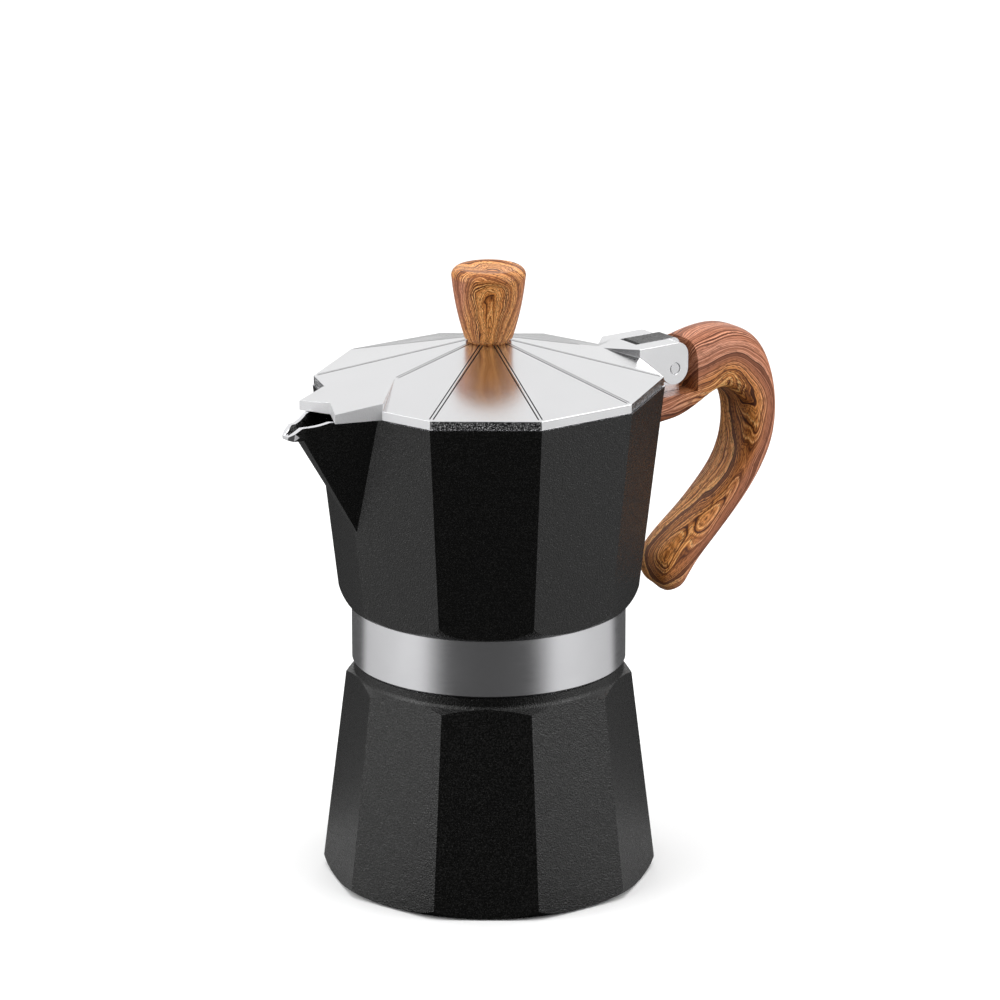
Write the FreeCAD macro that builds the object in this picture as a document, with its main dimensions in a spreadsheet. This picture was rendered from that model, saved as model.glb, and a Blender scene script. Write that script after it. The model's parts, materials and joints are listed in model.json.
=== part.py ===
"""Stove-top moka pot with ten facets, as a parametric document. Millimetres.

Frame: origin at the centre of the flat base, +Z up, +X through the handle, -X through the spout.
Every driving size is a cell of the sheet "Sizes"; the features are bound to those cells.
"""
import FreeCAD, Part
import math
import os
import re
import Sketcher

doc = FreeCAD.newDocument("moka_pot")

# ---------------------------------------------------------------- driving sizes
SIZES = {
    # boiler
    "foot_r": 42.67,            # corner radius of the decagon at the base
    "boiler_draft": 0.1226,     # corner radius lost per mm of height
    "boiler_top": 56.6,         # height of the seat of the collector's band
    "foot_inset": 4.27,         # flat circle that the pot stands on, inside the base's corners
    "foot_round": 4.5,          # rounding between base and facets
    "shoulder_drop": 4.6,       # from the band's seat down to the turned shoulder
    "shoulder_step": 0.7,       # turned spigot under the band, inside its radius
    "boiler_floor": 3.0,
    "boiler_wall": 2.8,
    "neck_r": 30.9,
    "neck_height": 9.4,
    "neck_wall": 3.1,
    # threads
    "thread_pitch": 3.0,
    "thread_depth": 0.6,
    "thread_clearance": 0.35,   # between the two crests, so that the pot also lifts straight off
    # collector
    "collar_wall": 2.85,        # bare band around the thread
    "band_height": 14.8,
    "chamber_height": 56.1,
    "rim_r": 44.06,             # corner radius at the rim
    "chamber_draft": 0.1153,
    "chamber_wall": 2.5,
    "chamber_round": 5.95,      # turned underside above the band
    "underside_over": 0.65833,  # where the turned underside runs out past the lower corners
    "chamber_floor": 3.2,
    # spout
    "spout_depth": 32.0,        # height of the V below the rim
    "spout_reach": 15.9,        # keel, measured outwards from the root of the V
    "spout_rise": 27.3,         # keel, measured upwards from the root of the V
    "spout_half": 10.77,        # half width of the V at the rim
    "spout_lip": 4.2,           # pouring lip beyond the keel
    # seal and filters
    "flange_thickness": 1.0,
    "gasket_play": 0.45,
    "gasket_bore": 25.0,
    "gasket_thickness": 3.0,
    "filter_r": 27.5,
    "filter_thickness": 0.8,
    "filter_hole_r": 0.65,
    "filter_ring": 4.1,
    # funnel
    "basket_play": 0.6,         # funnel inside the boiler's mouth
    "basket_depth": 20.0,
    "sheet_wall": 1.0,
    "stem_r": 4.9,
    "stem_gap": 5.5,
    "disc_play": 0.3,
    # column
    "column_r": 6.5,
    "column_bore": 4.2,
    "column_height": 36.0,
    # lid
    "lid_gap": 0.1,
    "lid_inset": 0.26,          # lid inside the rim corner
    "skirt_height": 2.3,
    "lid_rise": 9.4,
    "lid_top_r": 5.9,
    "lid_wall": 1.55,
    "cover_apex": 28.3,
    "cover_slope": 0.162,
    # hinge
    "hinge_out": 8.24,          # pin outside the rim corner
    "hinge_drop": 2.1,          # pin below the rim
    "hinge_half": 8.1,
    "knuckle_r": 4.2,
    "lug_half": 3.3,
    "lug_swing": 10.1,          # reach of the lug from the pin, which the lid swings round
    "lug_play": 0.2,
    "pin_r": 1.5,
    "pin_play": 0.05,
    "tongue_rise": 4.6,         # flat top of the tongue above the rim
    "tang_drop": 13.3,          # foot of the tang below the rim
    # knob
    "knob_base_r": 6.0,
    "knob_foot": 0.5,           # spigot that lifts the knob off the lid
    "knob_r": 9.2,
    "knob_height": 18.8,
    "insert_r": 3.0,
    # screws
    "knob_screw_r": 1.75,
    "knob_head_r": 3.3,
    "handle_screw_r": 1.95,
    "handle_head_r": 3.5,
    # handle
    "handle_half": 8.0,
    "ledge_drop": 9.4,          # top of the arm below the rim
    "notch_out": 15.8,          # riser behind the lug, outside the rim corner
    "fit": 0.15,
    # safety valve
    "valve_z": 35.0,
    "valve_boss_r": 8.2,
    "valve_shank_r": 4.8,
    "valve_flats": 12.0,
    "spring_r": 2.1,
    "spring_wire_r": 0.28,
    "spring_pitch": 1.55,
    "spring_height": 8.3,
}

# sizes that follow from the driving ones
DERIVED = {
    "facet": "cos(18)",
    "foot_flat_r": "foot_r - foot_inset",
    "shoulder_z": "boiler_top - shoulder_drop",
    "mouth_r": "neck_r - neck_wall",
    "basket_r": "mouth_r - basket_play",
    "disc_r": "basket_r - sheet_wall - disc_play",
    "band_r": "bore_r + collar_wall",
    "shoulder_r": "band_r - shoulder_step",
    "gasket_r": "bore_r - gasket_play",
    "lid_r": "rim_r - lid_inset",
    "foot_top_r": "foot_r - boiler_draft * shoulder_top",
    "shoulder_top": "boiler_top - 0.3",
    "neck_top": "boiler_top + neck_height",
    "flange_top": "neck_top + flange_thickness",
    "seal_face": "flange_top + gasket_thickness",
    "filter_top": "seal_face + filter_thickness",
    "band_top": "boiler_top + band_height",
    "floor_top": "band_top + chamber_floor",
    "rim_z": "band_top + chamber_height",
    "chamber_low_r": "rim_r - chamber_draft * chamber_height",
    "bore_r": "neck_r + thread_depth + thread_clearance",
    "lid_z": "rim_z + lid_gap",
    "lid_rim_z": "lid_z + skirt_height",
    "lid_peak_z": "lid_rim_z + lid_rise",
    "crease": "lid_rise / (lid_r - lid_top_r)",
    "cover_z": "lid_peak_z - crease * (cover_apex - lid_top_r)",
    "hinge_x": "rim_r + hinge_out",
    "hinge_z": "rim_z - hinge_drop",
    "tongue_z": "rim_z + tongue_rise",
    "tang_z": "rim_z - tang_drop",
    "lug_back": "hinge_x + 5.0",
    "lug_front": "hinge_x - 0.82 * lug_swing",
    "lid_swing": "lug_swing + 0.3",
    "ledge_z": "rim_z - ledge_drop",
    "root_x": "rim_r - 3.56",
    "root_z": "rim_z - spout_depth",
    "keel_x": "root_x + spout_reach",
    "keel_z": "root_z + spout_rise",
    "screw_x": "hinge_x - 1.3",
    "valve_face": "facet * (foot_r - boiler_draft * (valve_z - valve_boss_r)) + 0.5",
    "valve_inner": "valve_face - 6.4",
}

sheet = doc.addObject("Spreadsheet::Sheet", "Sizes")
for row, (alias, value) in enumerate(SIZES.items(), start=1):
    sheet.set(f"A{row}", alias.replace("_", " "))
    sheet.set(f"B{row}", str(value))
    sheet.setAlias(f"B{row}", alias)
doc.recompute()


def expression(text):
    """Turn plain words into references to the sheet's cells."""
    def swap(match):
        word = match.group(0)
        if word in DERIVED:
            return "(" + expression(DERIVED[word]) + ")"
        return "Sizes." + word if word in SIZES else word
    return re.sub(r"[A-Za-z_]\w*", swap, text)


def number(text):
    """The value that an expression has now."""
    result = sheet.evalExpression(expression(text))
    return float(getattr(result, "Value", result))


# ---------------------------------------------------------------- sketch helpers
def new_body(label):
    body = doc.addObject("PartDesign::Body", label)
    body.Label = label
    return body


def new_sketch(body, name, plane="XZ_Plane", offset="0"):
    drawing = body.newObject("Sketcher::SketchObject", f"{body.Label}_{name}")
    origin = next(item for item in body.Origin.OriginFeatures if item.Role == plane)
    drawing.AttachmentSupport = [(origin, "")]
    drawing.MapMode = "FlatFace"
    if offset != "0":
        drawing.setExpression("AttachmentOffset.Base.z", expression(offset))
    return drawing


def pin_point(drawing, edge, end, across, up):
    """Hold one end of an edge at a place given by two expressions."""
    for kind, axis, text in (("DistanceX", -2, across), ("DistanceY", -1, up)):
        if text == "0":
            drawing.addConstraint(Sketcher.Constraint("PointOnObject", edge, end, axis))
        else:
            index = drawing.addConstraint(Sketcher.Constraint(kind, edge, end, number(text)))
            drawing.setExpression(f"Constraints[{index}]", expression(text))


def arc_through(start, finish, radius, side):
    """Anticlockwise arc between two points that bulges right (side 1) or left (side -1) of the way there."""
    chord = finish - start
    half = chord.Length / 2
    radius = max(radius, half * 1.0001)
    outward = FreeCAD.Vector(chord.y, -chord.x, 0).normalize() * side
    sagitta = radius - math.sqrt(radius * radius - half * half)
    crown = start + chord * 0.5 + outward * sagitta
    return Part.Arc(start, crown, finish) if side > 0 else Part.Arc(finish, crown, start)


def outline(drawing, points):
    """Closed outline. A point is (across, up) or (across, up, radius, side) when an arc leaves it."""
    places = [FreeCAD.Vector(number(p[0]), number(p[1]), 0) for p in points]
    ends = []
    for index, point in enumerate(points):
        start = places[index]
        finish = places[(index + 1) % len(points)]
        if len(point) == 2:
            edge = drawing.addGeometry(Part.LineSegment(start, finish), False)
            ends.append((edge, 1, 2))
            continue
        arc = arc_through(start, finish, number(point[2]), point[3])
        edge = drawing.addGeometry(arc, False)
        ends.append((edge, 1, 2) if point[3] > 0 else (edge, 2, 1))
    for index, (edge, first, last) in enumerate(ends):
        following = ends[(index + 1) % len(ends)]
        drawing.addConstraint(Sketcher.Constraint("Coincident", edge, last, following[0], following[1]))
    for point, (edge, first, last) in zip(points, ends):
        pin_point(drawing, edge, first, point[0], point[1])
        if len(point) == 4:
            index = drawing.addConstraint(Sketcher.Constraint("Radius", edge, number(point[2])))
            drawing.setExpression(f"Constraints[{index}]", expression(point[2]))
    return drawing


def circle(drawing, across, up, radius):
    centre = FreeCAD.Vector(number(across), number(up), 0)
    edge = drawing.addGeometry(Part.Circle(centre, FreeCAD.Vector(0, 0, 1), number(radius)), False)
    pin_point(drawing, edge, 3, across, up)
    index = drawing.addConstraint(Sketcher.Constraint("Radius", edge, number(radius)))
    drawing.setExpression(f"Constraints[{index}]", expression(radius))
    return drawing


def polygon(drawing, radius, sides=10, turn=0):
    """Regular polygon with a corner at the given angle from the sketch's first axis."""
    points = []
    for side in range(sides):
        angle = turn + 360 / sides * side
        across = "0" if angle % 180 == 90 else f"({radius}) * cos({angle})"
        up = "0" if angle % 180 == 0 else f"({radius}) * sin({angle})"
        points.append((across, up))
    return outline(drawing, points)


# ---------------------------------------------------------------- feature helpers
def turned(body, name, points, cut=False):
    """Revolve an outline of (radius, height) points about the body's Z axis."""
    drawing = outline(new_sketch(body, name), points)
    kind = "PartDesign::Groove" if cut else "PartDesign::Revolution"
    feature = body.newObject(kind, f"{body.Label}_{name}_turn")
    feature.Profile = drawing
    feature.ReferenceAxis = (drawing, ["V_Axis"])
    feature.Angle = 360
    return feature


def raised(body, name, drawing, length, cut=False, both_ways=False, flip=False):
    """Pad, or pocket, of a sketch."""
    feature = body.newObject("PartDesign::Pocket" if cut else "PartDesign::Pad", f"{body.Label}_{name}_block")
    feature.Profile = drawing
    feature.setExpression("Length", expression(length))
    feature.Midplane = both_ways
    feature.Reversed = flip
    return feature


def lofted(body, name, drawings, cut=False):
    """Straight-sided loft through two or more sketches."""
    kind = "PartDesign::SubtractiveLoft" if cut else "PartDesign::AdditiveLoft"
    feature = body.newObject(kind, f"{body.Label}_{name}_loft")
    feature.Profile = drawings[0]
    feature.Sections = [(drawing, [""]) for drawing in drawings[1:]]
    feature.Ruled = True
    return feature


def decagons(body, name, rings):
    """Decagon sketches, one for each (height, corner radius) pair."""
    return [
        polygon(new_sketch(body, f"{name}_{index}", "XY_Plane", height), radius)
        for index, (height, radius) in enumerate(rings)
    ]


def place(body, x="0", y="0", z="0", axis=(0, 0, 1), angle=0):
    """Turn a body about its origin and put that origin at x, y, z."""
    body.Placement = FreeCAD.Placement(
        FreeCAD.Vector(number(x), number(y), number(z)), FreeCAD.Rotation(FreeCAD.Vector(*axis), angle)
    )
    for name, text in (("x", x), ("y", y), ("z", z)):
        body.setExpression(f"Placement.Base.{name}", expression(text))


ALONG_Y = {"axis": (1, 0, 0), "angle": -90}


def thread_rings(body, name, crest, root, low, turns):
    """Thread ridges, drawn as rings one pitch apart, between a crest and a root radius."""
    for turn in range(turns):
        base = f"{low} + {turn} * thread_pitch"
        turned(body, f"{name}_{turn}", [
            (root, f"{base}"),
            (crest, f"{base} + 0.3 * thread_pitch"),
            (crest, f"{base} + 0.5 * thread_pitch"),
            (root, f"{base} + 0.8 * thread_pitch"),
        ])


# ---------------------------------------------------------------- boiler
def make_boiler():
    body = new_body("boiler")
    lofted(body, "facets", decagons(body, "facets", [("0", "foot_r"), ("shoulder_top", "foot_top_r")]))
    turned(body, "foot", [
        ("foot_flat_r", "0", "foot_round", 1),
        ("foot_flat_r + foot_round", "foot_round"),
        ("foot_r + 8", "foot_round"),
        ("foot_r + 8", "-1"),
        ("foot_flat_r", "-1"),
    ], cut=True)
    turned(body, "shoulder", [
        ("shoulder_r", "boiler_top + 1"),
        ("shoulder_r", "shoulder_z + 2.6", "1.6", 1),
        ("shoulder_r + 0.5", "shoulder_z + 1.4"),
        ("shoulder_r + 4", "shoulder_z - 1.1"),
        ("foot_r + 8", "shoulder_z - 1.1"),
        ("foot_r + 8", "boiler_top + 1"),
    ], cut=True)
    turned(body, "neck", [
        ("0", "shoulder_z - 4"),
        ("neck_r", "shoulder_z - 4"),
        ("neck_r", "neck_top - 0.6"),
        ("neck_r - 0.6", "neck_top"),
        ("0", "neck_top"),
    ])
    thread_rings(body, "thread", "neck_r + thread_depth", "neck_r - 0.2", "boiler_top + 0.6", 3)
    turned(body, "cavity", [
        ("0", "boiler_floor"),
        ("facet * foot_r - boiler_wall - 4.8", "boiler_floor", "4.0", 1),
        ("facet * foot_r - boiler_wall - 0.8", "boiler_floor + 4"),
        ("facet * foot_top_r - boiler_wall + 0.6", "shoulder_z - 2"),
        ("mouth_r", "shoulder_z + 2.5"),
        ("mouth_r", "neck_top + 1"),
        ("0", "neck_top + 1"),
    ], cut=True)
    boss = circle(new_sketch(body, "boss", "XZ_Plane", "-valve_face"), "0", "valve_z", "valve_boss_r")
    raised(body, "boss", boss, "valve_face - valve_inner")
    hole = circle(new_sketch(body, "valve_hole", "XZ_Plane", "-valve_inner + 1"), "0", "valve_z",
                  "valve_shank_r + pin_play")
    raised(body, "valve_hole", hole, "10", cut=True)
    return body


# ---------------------------------------------------------------- safety valve, drawn along Z, turned to +Y
def make_valve():
    parts = []
    washer = new_body("valve_washer")
    turned(washer, "ring", [
        ("valve_shank_r + 0.1", "0"),
        ("valve_flats / 2", "0"),
        ("valve_flats / 2", "0.8"),
        ("valve_shank_r + 0.1", "0.8"),
    ])
    parts.append(washer)

    valve = new_body("valve_body")
    hexagon = polygon(new_sketch(valve, "hexagon", "XY_Plane", "0.8"), "valve_flats / 2 / cos(30)", 6)
    raised(valve, "hexagon", hexagon, "4.4")
    turned(valve, "shank", [
        ("0", "-6.8"),
        ("valve_shank_r - 0.4", "-6.8"),
        ("valve_shank_r", "-6.4"),
        ("valve_shank_r", "1.0"),
        ("4.4", "1.0"),
        ("4.4", "7.4"),
        ("3.9", "7.9"),
        ("0", "7.9"),
    ])
    turned(valve, "chamber", [
        ("0", "-7.5"),
        ("1.6", "-7.5"),
        ("1.6", "-5.0"),
        ("3.1", "-5.0"),
        ("3.1", "9"),
        ("0", "9"),
    ], cut=True)
    turned(valve, "crown", [
        ("valve_flats / 2 - 0.1", "6.2"),
        ("valve_flats / 2 + 2", "3.9"),
        ("valve_flats / 2 + 2", "6.2"),
    ], cut=True)
    parts.append(valve)

    seal = new_body("valve_seal")
    turned(seal, "disc", [("0", "-5.0"), ("2.6", "-5.0"), ("2.6", "-4.0"), ("0", "-4.0")])
    parts.append(seal)

    piston = new_body("valve_piston")
    turned(piston, "spool", [
        ("0", "-4.0"),
        ("2.75", "-4.0"),
        ("2.75", "-2.6"),
        ("1.1", "-2.6"),
        ("1.1", "9.6"),
        ("0.7", "10.2"),
        ("0", "10.2"),
    ])
    parts.append(piston)

    spring = new_body("valve_spring")
    wire = circle(new_sketch(spring, "wire"), "spring_r", "-2.3", "spring_wire_r")
    coil = spring.newObject("PartDesign::AdditiveHelix", "valve_spring_coil")
    coil.Profile = wire
    coil.ReferenceAxis = (wire, ["V_Axis"])
    coil.Mode = 0
    coil.setExpression("Pitch", expression("spring_pitch"))
    coil.setExpression("Height", expression("spring_height"))
    parts.append(spring)

    cap = new_body("valve_cap")
    turned(cap, "ring", [("1.3", "6.4"), ("3.05", "6.4"), ("3.05", "7.5"), ("1.3", "7.5")])
    parts.append(cap)
    for body in parts:
        place(body, "0", "valve_face", "valve_z", **ALONG_Y)
    return parts


# ---------------------------------------------------------------- funnel, filters and gasket
def perforate(body, thickness, rings, base):
    """Rings of round holes, six more in each ring, and one in the middle."""
    middle = circle(new_sketch(body, "middle_hole", "XY_Plane", f"{base} - 1"), "0", "0", "filter_hole_r")
    raised(body, "middle_hole", middle, f"{thickness} + 2", cut=True, flip=True)
    for ring in range(1, rings + 1):
        drawing = circle(new_sketch(body, f"hole_{ring}", "XY_Plane", f"{base} - 1"),
                         f"{ring} * filter_ring", "0", "filter_hole_r")
        hole = raised(body, f"hole_{ring}", drawing, f"{thickness} + 2", cut=True, flip=True)
        pattern = body.newObject("PartDesign::PolarPattern", f"{body.Label}_ring_{ring}")
        pattern.Originals = [hole]
        pattern.Axis = (drawing, ["N_Axis"])
        pattern.Angle = 360
        pattern.Occurrences = 6 * ring
        body.Tip = pattern


def make_filter_set():
    funnel = new_body("funnel")
    rim = "flange_top - flange_thickness"
    turned(funnel, "shell", [
        ("stem_r - sheet_wall", "stem_gap"),
        ("stem_r - sheet_wall", f"{rim} - basket_depth - 6"),
        ("disc_r - 1.6", f"{rim} - basket_depth"),
        ("basket_r - sheet_wall", f"{rim} - basket_depth"),
        ("basket_r - sheet_wall", "flange_top"),
        ("neck_r - 0.2", "flange_top"),
        ("neck_r - 0.2", rim),
        ("basket_r", rim),
        ("basket_r", f"{rim} - basket_depth - sheet_wall"),
        ("disc_r - 1.2", f"{rim} - basket_depth - sheet_wall"),
        ("stem_r", f"{rim} - basket_depth - 6.6"),
        ("stem_r", "stem_gap"),
    ])
    notch = outline(new_sketch(funnel, "inlets"), [
        ("-1.5", "stem_gap - 1"),
        ("1.5", "stem_gap - 1"),
        ("1.5", "stem_gap + 2.5"),
        ("-1.5", "stem_gap + 2.5"),
    ])
    raised(funnel, "inlets", notch, "4 * stem_r", cut=True, both_ways=True)

    disc = new_body("funnel_disc")
    low = f"{rim} - basket_depth"
    turned(disc, "plate", [
        ("0", low), ("disc_r", low), ("disc_r", f"{low} + filter_thickness"),
        ("0", f"{low} + filter_thickness"),
    ])
    perforate(disc, "filter_thickness", 5, low)

    gasket = new_body("gasket")
    turned(gasket, "ring", [
        ("gasket_bore", "flange_top"),
        ("gasket_r", "flange_top"),
        ("gasket_r", "seal_face"),
        ("gasket_bore", "seal_face"),
    ])

    upper = new_body("upper_filter")
    turned(upper, "plate", [
        ("0", "seal_face"), ("filter_r", "seal_face"), ("filter_r", "filter_top"), ("0", "filter_top"),
    ])
    perforate(upper, "filter_thickness", 5, "seal_face")
    return [funnel, disc, gasket, upper]


# ---------------------------------------------------------------- collector
def trough(body, name, stations, cut=False):
    """Spout sections across X: (distance out, foot height, foot half width, top height, top half width)."""
    drawings = []
    for index, (out, foot, foot_half, top, top_half) in enumerate(stations):
        drawing = new_sketch(body, f"{name}_{index}", "YZ_Plane", f"-({out})")
        drawings.append(outline(drawing, [
            (f"-({foot_half})", foot), (foot_half, foot), (top_half, top), (f"-({top_half})", top),
        ]))
    return lofted(body, name, drawings, cut)


def make_collector():
    body = new_body("collector")
    lofted(body, "facets", decagons(body, "facets", [("band_top", "chamber_low_r"), ("rim_z", "rim_r")]))
    trough(body, "spout", [
        ("root_x - 4.5", "root_z - 6.1", "0.3", "rim_z", "spout_half + 2.07"),
        ("keel_x", "keel_z", "1.86", "rim_z", "3.6"),
        ("keel_x + 0.7 * spout_lip", "keel_z + 0.2", "1.9", "rim_z", "3.2"),
        ("keel_x + spout_lip", "keel_z + 0.6", "1.2", "rim_z", "2.1"),
    ])
    turned(body, "underside", [
        ("band_r", "band_top", "chamber_round", 1),
        ("chamber_low_r + underside_over", "band_top + 5.4"),
        ("rim_r + 5", "band_top + 5.4"),
        ("rim_r + 5", "band_top - 1"),
        ("band_r", "band_top - 1"),
    ], cut=True)
    turned(body, "band", [
        ("0", "filter_top"),
        ("filter_r + 0.3", "filter_top"),
        ("filter_r + 0.3", "seal_face"),
        ("bore_r", "seal_face"),
        ("bore_r", "boiler_top"),
        ("band_r - 0.5", "boiler_top"),
        ("band_r", "boiler_top + 0.5"),
        ("band_r", "band_top + 0.1"),
        ("band_r - 2", "band_top + 2"),
        ("0", "band_top + 2"),
    ])
    thread_rings(body, "thread", "bore_r - thread_depth + 0.25", "bore_r + 0.2", "boiler_top + 2.1", 3)
    lofted(body, "cavity", decagons(body, "cavity", [
        ("floor_top", "chamber_low_r - chamber_wall - 1.2"),
        ("floor_top + 3", "chamber_low_r - chamber_wall + 0.7"),
        ("rim_z + 1", "rim_r - chamber_wall + 0.1"),
    ]), cut=True)
    trough(body, "channel", [
        ("root_x - 6", "root_z - 2.6", "0.4", "rim_z + 2", "spout_half + 2.4"),
        ("keel_x", "keel_z + 1.5", "0.9", "rim_z + 2", "3.0"),
        ("keel_x + 0.7 * spout_lip", "keel_z + 1.6", "0.9", "rim_z + 2", "2.5"),
        ("keel_x + spout_lip + 1", "keel_z + 1.3", "0.3", "rim_z + 2", "1.3"),
    ], cut=True)
    lip = outline(new_sketch(body, "lip"), [
        ("-(keel_x - 5)", "rim_z + 4"),
        ("-(keel_x - 5)", "rim_z", "14", -1),
        ("-(keel_x + 1.2)", "rim_z - 1.2", "30", -1),
        ("-(keel_x + spout_lip + 1)", "keel_z + 0.9"),
        ("-(keel_x + spout_lip + 6)", "keel_z + 0.9"),
        ("-(keel_x + spout_lip + 6)", "rim_z + 4"),
    ])
    raised(body, "lip", lip, "40", cut=True, both_ways=True)
    turned(body, "hub", [
        ("0", "floor_top - 1"),
        ("chamber_low_r - chamber_wall - 6", "floor_top - 1"),
        ("chamber_low_r - chamber_wall - 6", "floor_top"),
        ("column_r + 5", "floor_top + 2.5"),
        ("column_r + 2.4", "floor_top + 6"),
        ("0", "floor_top + 6"),
    ])
    turned(body, "gallery", [
        ("0", "filter_top - 1"),
        ("gasket_bore", "filter_top - 1"),
        ("gasket_bore", "filter_top + 0.8"),
        ("column_r + 0.6", "floor_top - 0.6"),
        ("column_r", "floor_top - 0.6"),
        ("column_r", "floor_top + 8"),
        ("0", "floor_top + 8"),
    ], cut=True)
    lug = outline(new_sketch(body, "lug"), [
        ("rim_r - chamber_draft * tang_drop - 1.3", "tang_z"),
        ("lug_back", "tang_z"),
        ("lug_back", "tongue_z - 2", "2", 1),
        ("lug_back - 2", "tongue_z"),
        ("hinge_x - sqrt(lug_swing ^ 2 - (tongue_z - hinge_z) ^ 2)", "tongue_z", "lug_swing", 1),
        ("lug_front", "hinge_z + sqrt(1 - 0.82 ^ 2) * lug_swing"),
        ("lug_front", "rim_z - 0.1"),
        ("rim_r - 1.3", "rim_z - 0.1"),
    ])
    raised(body, "lug", lug, "2 * lug_half", both_ways=True)
    pin_hole = circle(new_sketch(body, "pin_hole"), "hinge_x", "hinge_z", "pin_r + 0.02")
    raised(body, "pin_hole", pin_hole, "4 * lug_half", cut=True, both_ways=True)
    tapped = circle(new_sketch(body, "tapped", "XY_Plane", "tang_z - 1"), "screw_x", "0",
                    "handle_screw_r + 0.03")
    raised(body, "tapped", tapped, "8", cut=True, flip=True)
    return body


def make_column():
    body = new_body("column")
    top = "floor_top + 6 + column_height"
    turned(body, "tube", [
        ("column_bore", "floor_top - 0.4"),
        ("column_r - 0.03", "floor_top - 0.4"),
        ("column_r - 0.03", "floor_top + 6"),
        ("column_r + 1.2", "floor_top + 6"),
        ("column_r + 1.2", "floor_top + 7"),
        ("column_r - 1.0", f"{top} - 3", "3.5", 1),
        ("column_r - 3.5", top),
        ("0", top),
        ("0", f"{top} - 1.5"),
        ("column_bore - 1.2", f"{top} - 1.5"),
    ])
    slot = outline(new_sketch(body, "outlets", "YZ_Plane"), [
        ("-1.6", f"{top} - 8"), ("1.6", f"{top} - 8"), ("1.6", f"{top} - 2.5"), ("-1.6", f"{top} - 2.5"),
    ])
    raised(body, "outlets", slot, "4 * column_r", cut=True, both_ways=True)
    return body


# ---------------------------------------------------------------- lid, knob and hinge pin
def make_lid():
    body = new_body("lid")
    lofted(body, "facets", decagons(body, "facets", [
        ("lid_z", "lid_r"), ("lid_rim_z", "lid_r"), ("lid_peak_z", "lid_top_r"),
    ]))
    cover = outline(new_sketch(body, "cover", "XY_Plane", "lid_z"), [
        ("-cover_apex", "0"),
        ("-(lid_r - 4.1)", "spout_half + 1.03"),
        ("-(keel_x - 5.1)", "8.0"),
        ("-(keel_x - 9.0)", "0"),
        ("-(keel_x - 5.1)", "-8.0"),
        ("-(lid_r - 4.1)", "-(spout_half + 1.03)"),
    ])
    raised(body, "cover", cover, "8")
    above = outline(new_sketch(body, "above_cover"), [
        ("-cover_apex", "cover_z"),
        ("-(keel_x + 8)", "cover_z - cover_slope * (keel_x + 8 - cover_apex)"),
        ("-(keel_x + 8)", "cover_z + 12"),
        ("-cover_apex", "cover_z + 12"),
    ])
    raised(body, "above_cover", above, "60", cut=True, both_ways=True)
    tongue = outline(new_sketch(body, "tongue", "XY_Plane", "lid_z"), [
        ("hinge_x - 18.8", "0"),
        ("hinge_x - 11.3", "-hinge_half"),
        ("hinge_x - 4", "-hinge_half"),
        ("hinge_x - 4", "hinge_half"),
        ("hinge_x - 11.3", "hinge_half"),
    ])
    raised(body, "tongue", tongue, "tongue_z - lid_z")
    arms = outline(new_sketch(body, "arms"), [
        ("hinge_x - 8.1", "lid_z"),
        ("hinge_x - 0.866 * knuckle_r", "hinge_z - 0.5 * knuckle_r", "knuckle_r", 1),
        ("hinge_x + knuckle_r", "hinge_z"),
        ("hinge_x + knuckle_r", "tongue_z - 3.5", "3.5", 1),
        ("hinge_x + knuckle_r - 3.5", "tongue_z"),
        ("hinge_x - 8.1", "tongue_z"),
    ])
    raised(body, "arms", arms, "2 * hinge_half", both_ways=True)
    lofted(body, "cavity", decagons(body, "cavity", [
        ("lid_z - 1", "lid_r - 2.2"),
        ("lid_rim_z + crease * 2.2 - lid_wall", "lid_r - 2.2"),
        ("lid_peak_z - lid_wall", "lid_top_r"),
    ]), cut=True)
    channel = outline(new_sketch(body, "channel"), [
        ("-(root_x - 2.5)", "lid_z - 1"),
        ("-(root_x - 2.5)", "cover_z - cover_slope * (root_x - 2.5 - cover_apex) - 1.6"),
        ("-(keel_x - 10.8)", "cover_z - cover_slope * (keel_x - 10.8 - cover_apex) - 1.6"),
        ("-(keel_x - 10.8)", "lid_z - 1"),
    ])
    raised(body, "channel", channel, "12", cut=True, both_ways=True)
    slot = outline(new_sketch(body, "slot"), [
        ("hinge_x - 0.87 * lid_swing", "tongue_z + 1"),
        ("hinge_x - 0.87 * lid_swing", "hinge_z + sqrt(1 - 0.87 ^ 2) * lid_swing", "lid_swing", 1),
        ("hinge_x - lid_swing", "hinge_z"),
        ("hinge_x - lid_swing", "hinge_z - 8"),
        ("lug_back + 2", "hinge_z - 8"),
        ("lug_back + 2", "tongue_z + 1"),
    ])
    raised(body, "slot", slot, "2 * (lug_half + lug_play)", cut=True, both_ways=True)
    pin_hole = circle(new_sketch(body, "pin_hole"), "hinge_x", "hinge_z", "pin_r + pin_play")
    raised(body, "pin_hole", pin_hole, "4 * hinge_half", cut=True, both_ways=True)
    screw_hole = circle(new_sketch(body, "screw_hole", "XY_Plane", "lid_peak_z - 6"), "0", "0",
                        "knob_screw_r + 0.1")
    raised(body, "screw_hole", screw_hole, "12", cut=True, flip=True)
    return body


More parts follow.
